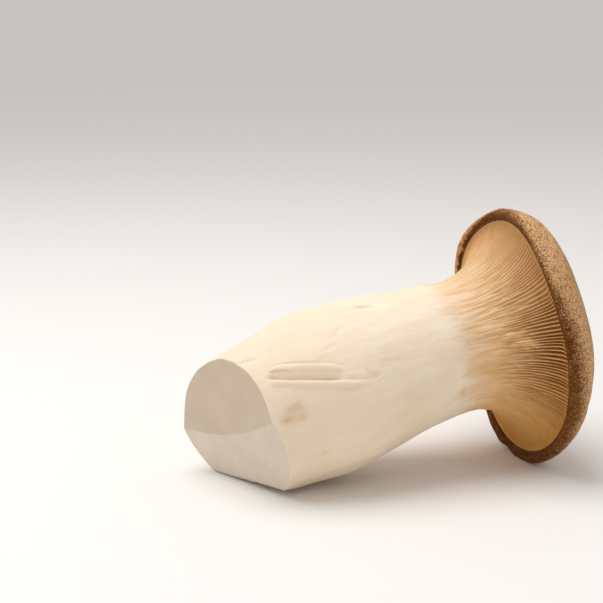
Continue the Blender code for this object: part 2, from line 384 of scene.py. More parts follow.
def body_noise(along, radius, turn, length, width, seed):
    """Smooth noise from -1 to 1 whose features are length long and width wide on the body."""
    places = straightened(along, radius, turn) / (length, width, width)
    places[..., 0] += SEED_STEP * (seed + 1)
    values = [noise.noise(place) for place in places.reshape(-1, 3)]
    return np.array(values).reshape(places.shape[:-1])


def lumps(table, along, radius, turn):
    """The sum of several noises, each times its height."""
    return sum(row[2] * body_noise(along, radius, turn, row[0], row[1], row[3]) for row in table)


def stem_radius(along):
    """A smooth curve through the stem's outline."""
    xs, ys = (np.array(column) for column in zip(*STEM_OUTLINE))
    slopes = np.gradient(ys, xs)
    i = np.clip(np.searchsorted(xs, along, side="right") - 1, 0, len(xs) - 2)
    gap = xs[i + 1] - xs[i]
    f = (along - xs[i]) / gap
    rise = gap * (f * (1.0 - f) ** 2 * slopes[i] - f * f * (1.0 - f) * slopes[i + 1])
    return ys[i] + smooth(f) * (ys[i + 1] - ys[i]) + rise


# Scar and marks in the stem's skin


def profile(table, across):
    """Height in metres of a section drawn in millimetres, at a distance across in metres."""
    xs, ys = zip(*table)
    return np.interp(across / MM, xs, ys) * MM


def scar_axes(along, turn):
    """Distances along the scar and across it, downwards, from its middle."""
    a = along - SCAR_ALONG
    b = (turn - SCAR_TURN) * math.tau * stem_radius(SCAR_ALONG)
    length = a * math.cos(SCAR_SLANT) + b * math.sin(SCAR_SLANT)
    across = b * math.cos(SCAR_SLANT) - a * math.sin(SCAR_SLANT)
    return length, across + SCAR_BEND * length**2


def scar_spot(length, across, mark):
    """1 at the middle of a mark that is placed by the scar's axes, falling to 0 at its edge."""
    at_length, at_across, half_length, half_width = mark[:4]
    distance = np.hypot((length - at_length) / half_length, (across - at_across) / half_width)
    return smooth(SPOT_REACH - distance)


def scar_relief(along, turn):
    """Height of the scar's bed, lips and pits over the skin round it."""
    length, across = scar_axes(along, turn)
    narrowing = np.sqrt(np.clip(1.0 - (length / SCAR_TIP) ** 4, SCAR_LEAST, 1.0))
    narrowed = np.where(across < 0.0, across / narrowing, across)
    height = profile(SCAR_BED, narrowed) * window(length, -SCAR_HALF, SCAR_HALF, SCAR_RAMP)
    height = height + profile(LOWER_LIP, across) * window(length, *LOWER_LIP_ENDS, *LOWER_LIP_RAMPS)
    height = height + profile(SIDE_BED, across) * window(length, *SIDE_BED_ENDS, SIDE_BED_RAMP)
    for pit in SCAR_PITS:
        height = height + pit[4] * scar_spot(length, across, pit)
    return height


def groove_shade_strength(along, turn):
    """Painted shade: the dark lines where the scar's skin folds under."""
    length, across = scar_axes(along, turn)
    strength = np.zeros(np.shape(length))
    for at_across, half_width, start, end, amount in SCAR_SHADE_LINES:
        line = np.exp(-(((across - at_across) / half_width) ** 2))
        fading = window(length, start, end, *SCAR_SHADE_LINE_RAMPS)
        strength = np.maximum(strength, amount * line * fading)
    return strength


def spot(along, turn, mark):
    """1 at a mark's middle, falling to 0 at its edge."""
    at_along, at_turn, half_length, half_width, slant = mark[:5]
    a = along - at_along
    b = (turn - at_turn) * math.tau * stem_radius(at_along)
    length = a * math.cos(slant) + b * math.sin(slant)
    across = b * math.cos(slant) - a * math.sin(slant)
    return smooth(SPOT_REACH - np.hypot(length / half_length, across / half_width))


def stem_relief(along, turn):
    """Height of everything on the stem: scar, folds, fibres, dimples and creases."""
    height = scar_relief(along, turn) + lumps(FOLDS, along, stem_radius(along), turn)
    for mark in DIMPLES:
        height = height + mark[5] * spot(along, turn, mark)
    return height


def stain_strength(along, turn):
    """Stains have blurred, ragged edges."""
    ragged = 1.0 + STAIN_RAGGED * body_noise(along, stem_radius(along), turn, *STAIN_NOISE)
    strength = np.zeros(np.shape(along + turn))
    for mark in STAINS:
        strength = np.maximum(strength, mark[5] * spot(along, turn, mark) * ragged)
    length, across = scar_axes(along, turn)
    for mark in SCAR_STAINS:
        strength = np.maximum(strength, mark[4] * scar_spot(length, across, mark))
    return np.clip(strength, 0.0, 1.0)


# Rings: each zone gives points of (row, column, xyz), straightened places and masks


def columns_at(along, turn):
    """Columns drawn together at the scar and slanted along it, so that its edges stay clean."""
    near_scar = window(along, *NEAR_SCAR)
    away = (turn - SCAR_TURN + 0.5) % 1.0 - 0.5
    closer = COLUMNS_CLOSER * away * np.exp(-((away / COLUMNS_CLOSER_TURN) ** 2))
    slope = math.tan(SCAR_SLANT) / (math.tau * stem_radius(SCAR_ALONG))
    reach = np.clip(along - SCAR_ALONG, *COLUMNS_SLANT_ENDS)
    slant = slope * reach * np.exp(-((away / COLUMNS_SLANT_TURN) ** 2))
    return turn + near_scar * (slant - closer)


def cut_planes():
    """A point and the outward direction of each knife cut."""
    centre, direction, up = spine(CUT_CENTRE)
    planes = []
    for turn, lean, reach in KNIFE_CUTS:
        normal = math.sin(lean) * outward(up, turn) - math.cos(lean) * direction
        planes.append((centre + reach * normal, normal))
    return planes


def past_cuts(points):
    """How far points lie beyond each knife cut; the first cut is a little hollow."""
    depths = []
    for index, (place, normal) in enumerate(cut_planes()):
        depth = (points - place) @ normal
        if index == 0:
            level = np.cross(normal, (0.0, 0.0, 1.0))
            sideways = (points - place) @ (level / np.linalg.norm(level))
            share = (sideways - CUT_HOLLOW_MIDDLE) / CUT_HOLLOW_REACH
            depth = depth + CUT_HOLLOW * (1.0 - share**2)
        depths.append(depth)
    return np.stack(depths, -1)


def edge_of_cuts(turn):
    """Distance along the spine, in each column, where the stem's side meets the nearest cut."""
    samples = np.linspace(STEM_OUTLINE[0][0], CUT_SEARCH_TO, CUT_SEARCH_STEPS)
    along = samples[:, None] + np.zeros(len(turn))
    at = columns_at(along, turn)
    radius = stem_radius(along) + scar_relief(along, at)
    beyond = past_cuts(surface(along, radius, at)).max(-1)
    last = len(samples) - 1 - np.argmax(beyond[::-1] > 0.0, axis=0)
    column = np.arange(len(turn))
    here, after = beyond[last, column], beyond[last + 1, column]
    return samples[last] + (samples[1] - samples[0]) * here / (here - after)


def stem_zone(turn):
    """The stem's side, from the edge of the cuts to the first traces of gills."""
    edge = edge_of_cuts(turn)
    steps = np.array((0.0,) + STEM_EDGE_STEPS)[:, None] + edge
    spread = np.linspace(0.0, 1.0, STEM_ROWS - len(STEM_EDGE_STEPS))[1:, None]
    rest = steps[-1] + (STEM_END - steps[-1]) * spread
    along = np.concatenate((steps, rest))
    at = columns_at(along, turn)
    relief = stem_relief(along, at) * smooth((STEM_END - along) / STEM_RELIEF_RAMP)
    radius = stem_radius(along) + relief
    radius[0] -= EDGE_INSET
    places = straightened(along, radius, at)
    masks = {
        "stain": stain_strength(along, at),
        "groove_shade": groove_shade_strength(along, at),
        "gill": (along - STEM_END) / (FLARE_STRETCH * (1.0 - GILL_BEGIN)),  # rises to 0 at the gills
    }
    return surface(along, radius, at), places, masks


def face_zone(edge_points, edge_places):
    """The cut faces, from a ring round a point of the edge between the first two, out to their rim."""
    level = np.array((0.0, 1.0, 0.0))
    slope = np.cross(level, spine(0.0)[1])
    steps = np.linspace(-MIDDLE_SEARCH, MIDDLE_SEARCH, MIDDLE_SEARCH_STEPS)[:, None]
    tries = edge_points.mean(0) + steps * slope
    depths = past_cuts(tries) / cut_speeds()
    middle = tries[np.argmin(abs(depths[:, 0] - depths[:, 1]))]
    even = (np.arange(1, FACE_ROWS - 1) / (FACE_ROWS - 1)) * FACE_EDGE_STEPS[-1]
    shares = np.concatenate((even, FACE_EDGE_STEPS[::-1]))[:, None, None]
    points = middle + shares * (edge_points - middle)
    places = edge_places.mean(0) + shares * (edge_places - edge_places.mean(0))
    depths = past_cuts(points) / cut_speeds()
    lower = smooth(0.5 + (depths[..., 1] - depths[..., 0]) / FACET_BLUR)
    return push_to_cuts(points), places, {"facet": lower}, push_to_cuts(middle[None])[0]


def cut_speeds():
    """How fast each cut is reached on the way out along the base's axis."""
    out = -spine(0.0)[1]
    return np.array([normal @ out for _, normal in cut_planes()])


def push_to_cuts(points):
    """Moves points outwards along the base's axis until they lie on the cuts, rounded where two meet."""
    out = -spine(0.0)[1]
    room = -past_cuts(points) / cut_speeds()
    reach = -CUT_BLEND * np.log(np.exp(-room / CUT_BLEND).sum(-1))
    size, height = CUT_GRAIN
    grain = [height * noise.noise(Vector(point / size)) for point in points.reshape(-1, 3)]
    return points + (reach + np.array(grain).reshape(reach.shape))[..., None] * out


def flare(share):
    """Distance along the spine, radius and outward normal of the gills' crests."""
    end, end_radius = lip_section(LIP_TURN)
    depth = (end - FLARE_FROM) / math.sin(FLARE_TURN)
    width = (end_radius - NECK_RADIUS) / (1.0 - math.cos(FLARE_TURN))
    angle = np.clip(share, 0.0, 1.0) * FLARE_TURN
    before = np.minimum(share, 0.0) * FLARE_STRETCH
    along = FLARE_FROM + depth * np.sin(angle) + before
    radius = np.where(share < 0.0, stem_radius(along), NECK_RADIUS + width * (1.0 - np.cos(angle)))
    normal = np.stack((-width * np.sin(angle), depth * np.cos(angle)), -1)
    return along, radius, normal / np.linalg.norm(normal, axis=-1, keepdims=True)


def gill_starts():
    """Where each gill begins, and to which side it forks off: long and short ones take turns."""
    draw = np.random.default_rng(GILL_SEED)
    starts, sides = [], []
    for gill in range(GILLS):
        kind = (FULL_STARTS, SHORT_STARTS, MIDDLE_STARTS, SHORT_STARTS)[gill % 4]
        starts.append(draw.uniform(*kind))
        sides.append(draw.choice((-1.0, 1.0)) * draw.uniform(*FORK_SIDES))
    return np.array(starts), np.array(sides)


def knot_strength(share, turn, ragged):
    """Places where gills grow together in a lump with a ragged edge: strength and height."""
    strength = np.zeros(np.shape(share + turn))
    height = np.zeros_like(strength)
    for at_share, at_turn, half_share, half_turn, rise in KNOTS:
        distance = np.hypot((share - at_share) / half_share, (turn - at_turn) / half_turn)
        knot = smooth(SPOT_REACH - distance + KNOT_RAGGED * ragged)
        strength = np.maximum(strength, knot)
        height = np.maximum(height, rise * knot)
    return strength, height


def gill_zone():
    """Rows across every gill, each of six columns, from the first traces on the stem to the margin."""
    share = np.linspace(GILL_BEGIN, 1.0, GILL_ROWS + 1)[1:-1, None]
    gill = np.repeat(np.arange(GILLS), len(GILL_PLACES))[None]
    start, side = (values[gill] for values in gill_starts())
    place = np.tile(GILL_PLACES, GILLS)[None]
    shape = np.tile(GILL_HEIGHTS, GILLS)[None]
    rough_turn = (gill + place) / GILLS

    along, radius, normal = flare(share)
    middle_turn = (gill + 0.5) / GILLS
    wander = body_noise(along, GILL_NOISE_RADIUS, middle_turn, *WANDER_NOISE)
    fork = side * (1.0 - smooth((share - start) / FORK_RAMP)) + WANDER_SHARE * wander
    place = place + FORK_BOW * np.clip(fork, -1.0, 1.0) * place * (1.0 - place)
    drift = body_noise(along, GILL_NOISE_RADIUS, rough_turn, *DRIFT_NOISE)
    settle = window(share, GILL_BEGIN, 1.0, SETTLE_RAMP)
    turn = (gill + place + DRIFT_GILLS * settle * drift) / GILLS

    uneven = CREST_MEAN + CREST_SPREAD * body_noise(along, GILL_NOISE_RADIUS, middle_turn, *CREST_NOISE)
    crest = shape * smooth((share - start) / START_RAMP) * np.clip(uneven, CREST_LEAST, 1.0)
    deepening = gill_share(share) ** DEEPENING_POWER
    near = 0.5 + 0.5 * np.cos(math.tau * (turn - NEAR_TURN))
    depth = GILL_DEPTH * deepening * at_least(FAR_DEPTH, near**NEAR_DEPTH_POWER)
    depth = depth * smooth((share[-1] - share) / MARGIN_RAMP)
    ragged = body_noise(along, radius, turn, *KNOT_NOISE)
    knot, rise = knot_strength(share, turn, ragged)
    crest = crest + (1.0 - crest) * knot * KNOT_FILL
    wrinkle = lumps(WRINKLES, along, radius, turn)
    wrinkled = window(share, *WRINKLED) * at_least(FAR_WRINKLES, near)
    swelling = lumps(GILL_SWELLING, along, radius, turn) + WRINKLE_HEIGHT * wrinkled * wrinkle
    lift = rise + swelling * settle - depth * (1.0 - crest)

    along = along + lift * normal[..., 0]
    radius = radius + lift * normal[..., 1]
    along, radius, turn = np.broadcast_arrays(along, radius, turn)
    # Painted shade: darker between the gills, most on the near side, and in the wrinkles' hollows
    valley = (1.0 - crest) * np.clip(deepening * VALLEY_SHADE_GAIN, 0.0, 1.0)
    valley = valley * at_least(FAR_VALLEY_SHADE, near**NEAR_VALLEY_SHADE_POWER)
    masks = {
        "gill": gill_share(share) + np.zeros_like(turn),
        "valley": np.clip(valley - WRINKLE_SHADE * wrinkled * np.minimum(wrinkle, 0.0), 0.0, 1.0),
        "stain": stain_strength(along, turn) * (share < 0.0),
        "band": np.ones_like(turn),
    }
    return surface(along, radius, turn), straightened(along, radius, turn), masks


def gill_share(share):
    """The share counted anew from the first traces of gills, where it is 0."""
    return np.clip((share - GILL_BEGIN) / (1.0 - GILL_BEGIN), 0.0, 1.0)


def lip_section(angle):
    """The rolled margin, from the gills' outer edge to the widest ring."""
    along = MARGIN_AT - LIP_DROP * np.sin(angle)
    return along, CAP_RADIUS - 0.5 * LIP_WIDTH * (1.0 - np.cos(angle))


def lip_zone(turn):
    """The rim, uneven in how thick it is and how far it reaches down, and torn in one place."""
    angle = LIP_TURN * (1.0 - np.arange(LIP_ROWS + 1) / LIP_ROWS)[:, None]
    along, radius = lip_section(angle)
    at = turn[None]
    torn = lumps(LIP_TEARS, 0.0, CAP_RADIUS, at) * window(at, *LIP_TEAR_TURNS)
    ramp = smooth((LIP_TURN - angle) / LIP_RAMP)
    lift = (lumps(LIP_LUMPS, along, radius, at) + torn) * ramp
    rim = waves(LIP_WAVES, at) * ramp
    along = along - (lift + rim) * np.sin(angle)
    radius = radius + lift * np.cos(angle)
    along, radius, at = np.broadcast_arrays(along, radius, at)
    masks = {"band": dark_band_and_shade(1.0 - angle / LIP_TURN, at)}
    return surface(along, radius, at), straightened(along, radius, at), masks


def dark_band_and_shade(place, turn):
    """Strength of the brown band at the margin, partly the skin's own brown and partly painted shade;
    place is 0 at the gills, 1 at the widest ring.
    """
    width = np.interp(turn % 1.0, *zip(*BAND_AND_SHADE_WIDTHS))
    ragged = BAND_RAGGED * body_noise(place, CAP_RADIUS, turn, *BAND_NOISE)
    return 1.0 - smooth((place + ragged) / width - BAND_SOLID)


def dome_zone(turn):
    """The cap's outer side, from the widest ring to its crown."""
    angle = np.arange(1, DOME_ROWS)[:, None] / DOME_ROWS * math.pi / 2
    along = MARGIN_AT + CAP_RISE * np.sin(angle)
    radius = CAP_RADIUS * np.cos(angle)
    at = turn[None]
    lift = (lumps(DOME_LUMPS, along, radius, at) - DOME_SINK) * smooth(angle / DOME_RAMP)
    along = along + lift * np.sin(angle)
    radius = radius + lift * np.cos(angle)
    along, radius, at = np.broadcast_arrays(along, radius, at)
    masks = {"band": dark_band_and_shade(1.0 + BAND_STRETCH * np.sin(angle), at)}
    return surface(along, radius, at), straightened(along, radius, at), masks


# Weaving the rings into one closed mesh


def ribbon(near, far):
    """Quads between two rings of the same count of points."""
    after = np.roll(near, -1), np.roll(far, -1)
    return list(zip(near, after[0], after[1], far))


def widen(near, fine):
    """Triangles and quads from a ring to one of three times as many points."""
    faces = []
    for j, start in enumerate(near):
        after = near[(j + 1) % len(near)]
        f = [fine[(3 * j + k) % len(fine)] for k in range(4)]
        faces += [(start, f[1], f[0]), (start, after, f[2], f[1]), (after, f[3], f[2])]
    return faces


def narrow(fine, far):
    """The same from the finer ring back to the plain one."""
    faces = []
    for j, start in enumerate(far):
        after = far[(j + 1) % len(far)]
        f = [fine[(3 * j + k) % len(fine)] for k in range(4)]
        faces += [(start, f[0], f[1]), (start, f[1], f[2], after), (after, f[2], f[3])]
    return faces


def join(near, far):
    """Faces between two neighbouring rings, of the same count of points or not."""
    if len(near) == len(far):
        return ribbon(near, far)
    return widen(near, far) if len(near) < len(far) else narrow(near, far)


def fan(ring, middle, facing_out):
    """Triangles from a ring to the one point that closes it."""
    after = np.roll(ring, -1)
    if facing_out:
        return [(a, b, middle) for a, b in zip(ring, after)]
    return [(middle, b, a) for a, b in zip(ring, after)]


def set_down(points):
    """Moves the body onto the floor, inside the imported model's box, and presses its rests flat."""
    low, high = (np.array(corner) for corner in cad_box)
    shift = np.array(
        (
            high[0] - points[:, 0].max(),
            0.5 * (low[1] + high[1]) - 0.5 * (points[:, 1].min() + points[:, 1].max()),
            low[2] - points[:, 2].min() - FLAT_DEPTH,
        )
    )
    return np.clip(points + shift, low, high)


# Masks for the finishes: the lower cuts, the scar's dark lines of painted shade, stains, how far into
# the gills, painted shade by how deep between them, and the brown band, partly painted shade
MASKS = ("facet", "groove_shade", "stain", "gill", "valley", "band")
FLESH, CAP_SKIN, CUT_FLESH = range(3)  # the order of the body's materials


def build_body(materials):
    """The whole mushroom as one closed mesh, with its places and masks as attributes."""
    turn = np.arange(COLUMNS) / COLUMNS
    stem_points, stem_places, stem_masks = stem_zone(turn)
    face_points, face_places, face_masks, middle = face_zone(stem_points[0], stem_places[0])
    zones = [
        (face_points, face_places, face_masks, CUT_FLESH),
        (stem_points, stem_places, stem_masks, FLESH),
        (*gill_zone(), FLESH),
        (*lip_zone(turn), CAP_SKIN),
        (*dome_zone(turn), CAP_SKIN),
    ]
    tip = surface(LENGTH, 0.0, 0.0)
    points, places, rings, kinds = [middle[None]], [face_places.mean((0, 1))[None]], [], []
    masks = {name: [np.zeros(1)] for name in MASKS}
    count = 1
    for zone_points, zone_places, zone_masks, kind in zones:
        for row, ring in enumerate(zone_points):
            points.append(ring)
            places.append(zone_places[row])
            for name in MASKS:
                values = zone_masks.get(name)
                masks[name].append(np.zeros(len(ring)) if values is None else values[row])
            rings.append(np.arange(count, count + len(ring)))
            kinds.append(kind)
            count += len(ring)
    points.append(tip[None])
    places.append(straightened(LENGTH, 0.0, 0.0)[None])
    for name in MASKS:
        masks[name].append(np.zeros(1))

    faces = fan(rings[0], 0, False)
    finishes = [CUT_FLESH] * len(faces)
    for near, far, kind, far_kind in zip(rings[:-1], rings[1:], kinds[:-1], kinds[1:]):
        new = join(near, far)
        faces += new
        finishes += [far_kind if kind == FLESH else kind] * len(new)
    new = fan(rings[-1], count, True)
    faces += new
    finishes += [CAP_SKIN] * len(new)

    mesh = bpy.data.meshes.new("mushroom_body")
    mesh.from_pydata(set_down(np.concatenate(points)), [], [tuple(map(int, f)) for f in faces])
    mesh.polygons.foreach_set("material_index", finishes)
    mesh.polygons.foreach_set("use_smooth", [True] * len(faces))
    for material in materials:
        mesh.materials.append(material)
    layer = mesh.attributes.new("place", "FLOAT_VECTOR", "POINT")
    layer.data.foreach_set("vector", np.concatenate(places).ravel())
    for name in MASKS:
        layer = mesh.attributes.new(name, "FLOAT", "POINT")
        layer.data.foreach_set("value", np.concatenate(masks[name]))
    mesh.validate()
    body = bpy.data.objects.new("mushroom_body", mesh)
    bpy.context.collection.objects.link(body)
    return body


# Finishes


def srgb(red, green, blue):
    """A colour as a picture states it, from 0 to 255, as the linear values that nodes take."""
    values = [value / 255.0 for value in (red, green, blue)]
    linear = [v / 12.92 if v <= 0.04045 else ((v + 0.055) / 1.055) ** 2.4 for v in values]
    return (*linear, 1.0)


# Colours of the flesh; where there are two, the first is the lighter one or the gills' upper side's.
# The gills' lower-side colours are more ochre and painted lighter against the shade there
SKIN = (srgb(248, 235, 212), srgb(236, 216, 186))
SKIN_PATCH = srgb(240, 214, 188)
SKIN_NEAR_BASE = srgb(234, 217, 192)
FIBRE_COLOUR = srgb(230, 206, 172)
STREAK_COLOUR = srgb(222, 198, 164)
# painted shade in the scar's folds
GROOVE_SHADE_COLOUR = srgb(212, 188, 154)
STAIN_COLOUR = srgb(206, 162, 112)
GILL_PALE = (srgb(228, 193, 151), srgb(236, 192, 131))
GILL_DEEP = (srgb(203, 158, 105), srgb(222, 166, 88))
GILL_MOTTLE = srgb(200, 146, 86)
# painted shade between the gills
VALLEY_SHADE_COLOUR = srgb(128, 66, 0)
# the first cut's colours hold painted shade, the lower cut's painted light from the floor
CUT_FIRST_SHADED = (srgb(210, 193, 172), srgb(203, 185, 163))
CUT_LOWER_LIT = (srgb(224, 212, 195), srgb(216, 202, 184))
CUT_GRAIN_COLOUR = srgb(192, 172, 148)

# Colours of the cap
TAN = (srgb(228, 182, 133), srgb(210, 162, 111))
SPECK_BROWN = srgb(104, 60, 20)
CROWN_BROWN = srgb(176, 132, 88)
FIBRIL_BROWN = srgb(126, 84, 46)
MOTTLE_BROWN = srgb(128, 86, 50)
# the margin's brown band, partly its own colour and partly painted shade
BAND_BROWN_AND_SHADE = (srgb(112, 62, 12), srgb(72, 34, 0))

# Stretch of the places that the flesh's noises read, per metre along the body and across it
CLOUD_STRETCH = (45.0, 90.0, 90.0)
PATCH_STRETCH = (70.0, 140.0, 140.0)
FIBRE_STRETCH = (45.0, 260.0, 260.0)
STREAK_STRETCH = (60.0, 900.0, 900.0)
BORDER_STRETCH = (70.0, 330.0, 330.0)
MOTTLE_STRETCH = (130.0, 500.0, 500.0)

# Spans that turn a value into a strength: (low, high), and the strengths there if not 0 and 1
CLOUD_SPAN = (0.3, 0.7)
PATCH_SPAN = (0.48, 0.68, 0.0, 0.45)
BASE_SPAN = (0.008, 0.048, 0.9, 0.0)
FIBRE_SPAN = (0.45, 0.75, 0.0, 0.22)
STREAK_SPAN = (0.5, 0.8, 0.0, 0.12)
STAIN_SPAN = (0.3, 0.7, 0.3, 0.7)
BORDER_SPAN = (0.25, 0.75, -0.13, 0.13)
UNDERSIDE_PAINTED_LIGHT_SPAN = (-0.024, 0.022, 1.0, 0.0)
PALE_SPAN = (0.0, 0.36)
DEEP_SPAN = (0.40, 0.95)
GILL_MOTTLE_SPAN = (0.40, 0.75, 0.0, 0.30)
FIRST_GILL_SPAN = (0.0, 0.14)
VALLEY_SHADE_SPAN = (0.30, 0.80, 0.10, 1.0)
CUT_GRAIN_SPAN = (0.5, 0.8, 0.0, 0.25)
CROWN_SPAN = (0.0860, 0.0965)
FIBRIL_SPAN = (0.45, 0.65, 0.0, 0.60)
MOTTLE_SPAN = (0.46, 0.62, 0.0, 0.60)
DARK_SPAN = (0.35, 0.65)
FLECK_SPAN = (0.48, 0.66, 0.0, 0.40)
SPECK_SPAN = (0.50, 0.60, 0.0, 0.70)
FEWER_SPECKS_SPAN = (0.0, 0.8, 1.0, 0.35)
BAND_SPAN = (0.85, 1.70, 0.0, 0.95)

CROWN_STRENGTH = 0.75
BAND_SPECKS = 1.6  # how far the specks fray the brown band
FINE_RELIEF = 0.5  # height of streaks and specks as a share of the fibres' and flecks' height
FIBRIL_LENGTH = 8.0  # how much the cap's fibrils change along its radius, per metre
SCATTER_COLOUR = (1.0, 0.6, 0.35)  # how far red, green and blue light go in the flesh
SCATTER_DEPTH = 0.8 * MM


MIX_FACTOR, MIX_FIRST, MIX_SECOND, MIX_COLOUR = 0, 6, 7, 2  # the mix node's sockets for colours


class Finish:
    """A material and short names for the nodes that its colour and relief are made of."""

    def __init__(self, name):
        self.material = bpy.data.materials.new(name)
        self.material.use_nodes = True
        self.nodes = self.material.node_tree.nodes
        self.shader = self.nodes["Principled BSDF"]

    def link(self, source, target):
        self.material.node_tree.links.new(source, target)

    def put(self, value, socket):
        """Sets a socket to a number or colour, or links it to another node's output."""
        if isinstance(value, bpy.types.NodeSocket):
            self.link(value, socket)
        else:
            socket.default_value = value

    def attribute(self, name, output="Fac"):
        node = self.nodes.new("ShaderNodeAttribute")
        node.attribute_name = name
        return node.outputs[output]

    def stretched(self, vector, x, y, z):
        node = self.nodes.new("ShaderNodeMapping")
        node.vector_type = "POINT"
        self.link(vector, node.inputs["Vector"])
        node.inputs["Scale"].default_value = (x, y, z)
        return node.outputs["Vector"]

    def noise(self, vector, scale=1.0, detail=3.0, rough=0.55):
        node = self.nodes.new("ShaderNodeTexNoise")
        self.link(vector, node.inputs["Vector"])
        node.inputs["Scale"].default_value = scale
        node.inputs["Detail"].default_value = detail
        node.inputs["Roughness"].default_value = rough
        return node.outputs["Fac"]

    def reach(self, value, low, high, to_low=0.0, to_high=1.0):
        """A strength that goes from to_low to to_high while the value goes from low to high."""
        node = self.nodes.new("ShaderNodeMapRange")
        self.link(value, node.inputs["Value"])
        node.inputs["From Min"].default_value = low
        node.inputs["From Max"].default_value = high
        node.inputs["To Min"].default_value = to_low
        node.inputs["To Max"].default_value = to_high
        return node.outputs["Result"]

    def part(self, vector, axis):
        node = self.nodes.new("ShaderNodeSeparateXYZ")
        self.link(vector, node.inputs["Vector"])
        return node.outputs[axis]

    def around(self, vector):
        """Directions round the body's axis, drawn out along its radius."""
        flat = self.nodes.new("ShaderNodeVectorMath")
        flat.operation = "MULTIPLY"
        self.link(vector, flat.inputs[0])
        flat.inputs[1].default_value = (0.0, 1.0, 1.0)
        turned = self.nodes.new("ShaderNodeVectorMath")
        turned.operation = "NORMALIZE"
        self.link(flat.outputs["Vector"], turned.inputs[0])
        drawn = self.nodes.new("ShaderNodeVectorMath")
        drawn.operation = "MULTIPLY_ADD"
        self.link(flat.outputs["Vector"], drawn.inputs[0])
        drawn.inputs[1].default_value = (0.0, FIBRIL_LENGTH, FIBRIL_LENGTH)
        self.link(turned.outputs["Vector"], drawn.inputs[2])
        return drawn.outputs["Vector"]

    def maths(self, kind, first, second=0.0):
        node = self.nodes.new("ShaderNodeMath")
        node.operation = kind
        self.put(first, node.inputs[0])
        self.put(second, node.inputs[1])
        return node.outputs["Value"]

    def mix(self, factor, first, second):
        node = self.nodes.new("ShaderNodeMix")
        node.data_type = "RGBA"
        self.put(factor, node.inputs[MIX_FACTOR])
        self.put(first, node.inputs[MIX_FIRST])
        self.put(second, node.inputs[MIX_SECOND])
        return node.outputs[MIX_COLOUR]

    def fill(self, colour):
        self.link(colour, self.shader.inputs["Base Color"])

    def roughen(self, height, distance, strength):
        node = self.nodes.new("ShaderNodeBump")
        self.link(height, node.inputs["Height"])
        node.inputs["Distance"].default_value = distance
        node.inputs["Strength"].default_value = strength
        self.link(node.outputs["Normal"], self.shader.inputs["Normal"])


def soft_flesh(finish, weight, roughness, gloss):
    """What all of the mushroom's finishes share: light goes a little way into the flesh."""
    finish.shader.inputs["Roughness"].default_value = roughness
    finish.shader.inputs["Subsurface Weight"].default_value = weight
    finish.shader.inputs["Subsurface Radius"].default_value = SCATTER_COLOUR
    finish.shader.inputs["Subsurface Scale"].default_value = SCATTER_DEPTH
    finish.shader.inputs["Specular IOR Level"].default_value = gloss


def flesh_finish():
    """Stem and gills: cream flesh with fine fibres, warming to tan gills, with painted shade in the
    valleys between them, in the wrinkles' hollows and along the scar's folds, and painted light on the
    gills' lower side.
    """
    f = Finish("mushroom_flesh")
    soft_flesh(f, weight=0.30, roughness=0.62, gloss=0.18)
    place = f.attribute("place", "Vector")
    cloud = f.noise(f.stretched(place, *CLOUD_STRETCH))
    patch = f.noise(f.stretched(place, *PATCH_STRETCH), detail=2.0)
    fibre = f.noise(f.stretched(place, *FIBRE_STRETCH), scale=3.0, detail=4.0, rough=0.6)
    streak = f.noise(f.stretched(place, *STREAK_STRETCH), rough=0.6)
    border = f.noise(f.stretched(place, *BORDER_STRETCH), detail=4.0, rough=0.6)
    mottle = f.noise(f.stretched(place, *MOTTLE_STRETCH), rough=0.6)

    skin = f.mix(f.reach(cloud, *CLOUD_SPAN), *SKIN)
    skin = f.mix(f.reach(patch, *PATCH_SPAN), skin, SKIN_PATCH)
    skin = f.mix(f.reach(f.part(place, "X"), *BASE_SPAN), skin, SKIN_NEAR_BASE)
    skin = f.mix(f.reach(fibre, *FIBRE_SPAN), skin, FIBRE_COLOUR)
    skin = f.mix(f.reach(streak, *STREAK_SPAN), skin, STREAK_COLOUR)
    # painted shade darkens the scar's folds
    skin = f.mix(f.attribute("groove_shade"), skin, GROOVE_SHADE_COLOUR)
    stain = f.maths("MULTIPLY", f.attribute("stain"), f.reach(fibre, *STAIN_SPAN))
    skin = f.mix(stain, skin, STAIN_COLOUR)

    gill = f.maths("ADD", f.attribute("gill"), f.reach(border, *BORDER_SPAN))
    # the gills' lower side is more ochre and painted lighter against its shade
    underside_painted_light = f.reach(f.part(place, "Y"), *UNDERSIDE_PAINTED_LIGHT_SPAN)
    crest = f.mix(f.reach(gill, *PALE_SPAN), skin, f.mix(underside_painted_light, *GILL_PALE))
    crest = f.mix(f.reach(gill, *DEEP_SPAN), crest, f.mix(underside_painted_light, *GILL_DEEP))
    crest = f.mix(f.reach(mottle, *GILL_MOTTLE_SPAN), crest, GILL_MOTTLE)
    crest = f.mix(f.reach(gill, *FIRST_GILL_SPAN), skin, crest)
    # painted shade in the valleys between the gills
    valley = f.maths("MULTIPLY", f.attribute("valley"), f.reach(gill, *VALLEY_SHADE_SPAN))
    f.fill(f.mix(valley, crest, VALLEY_SHADE_COLOUR))

    height = f.maths("ADD", fibre, f.maths("MULTIPLY", streak, FINE_RELIEF))
    f.roughen(height, distance=0.12 * MM, strength=0.7)
    return f.material


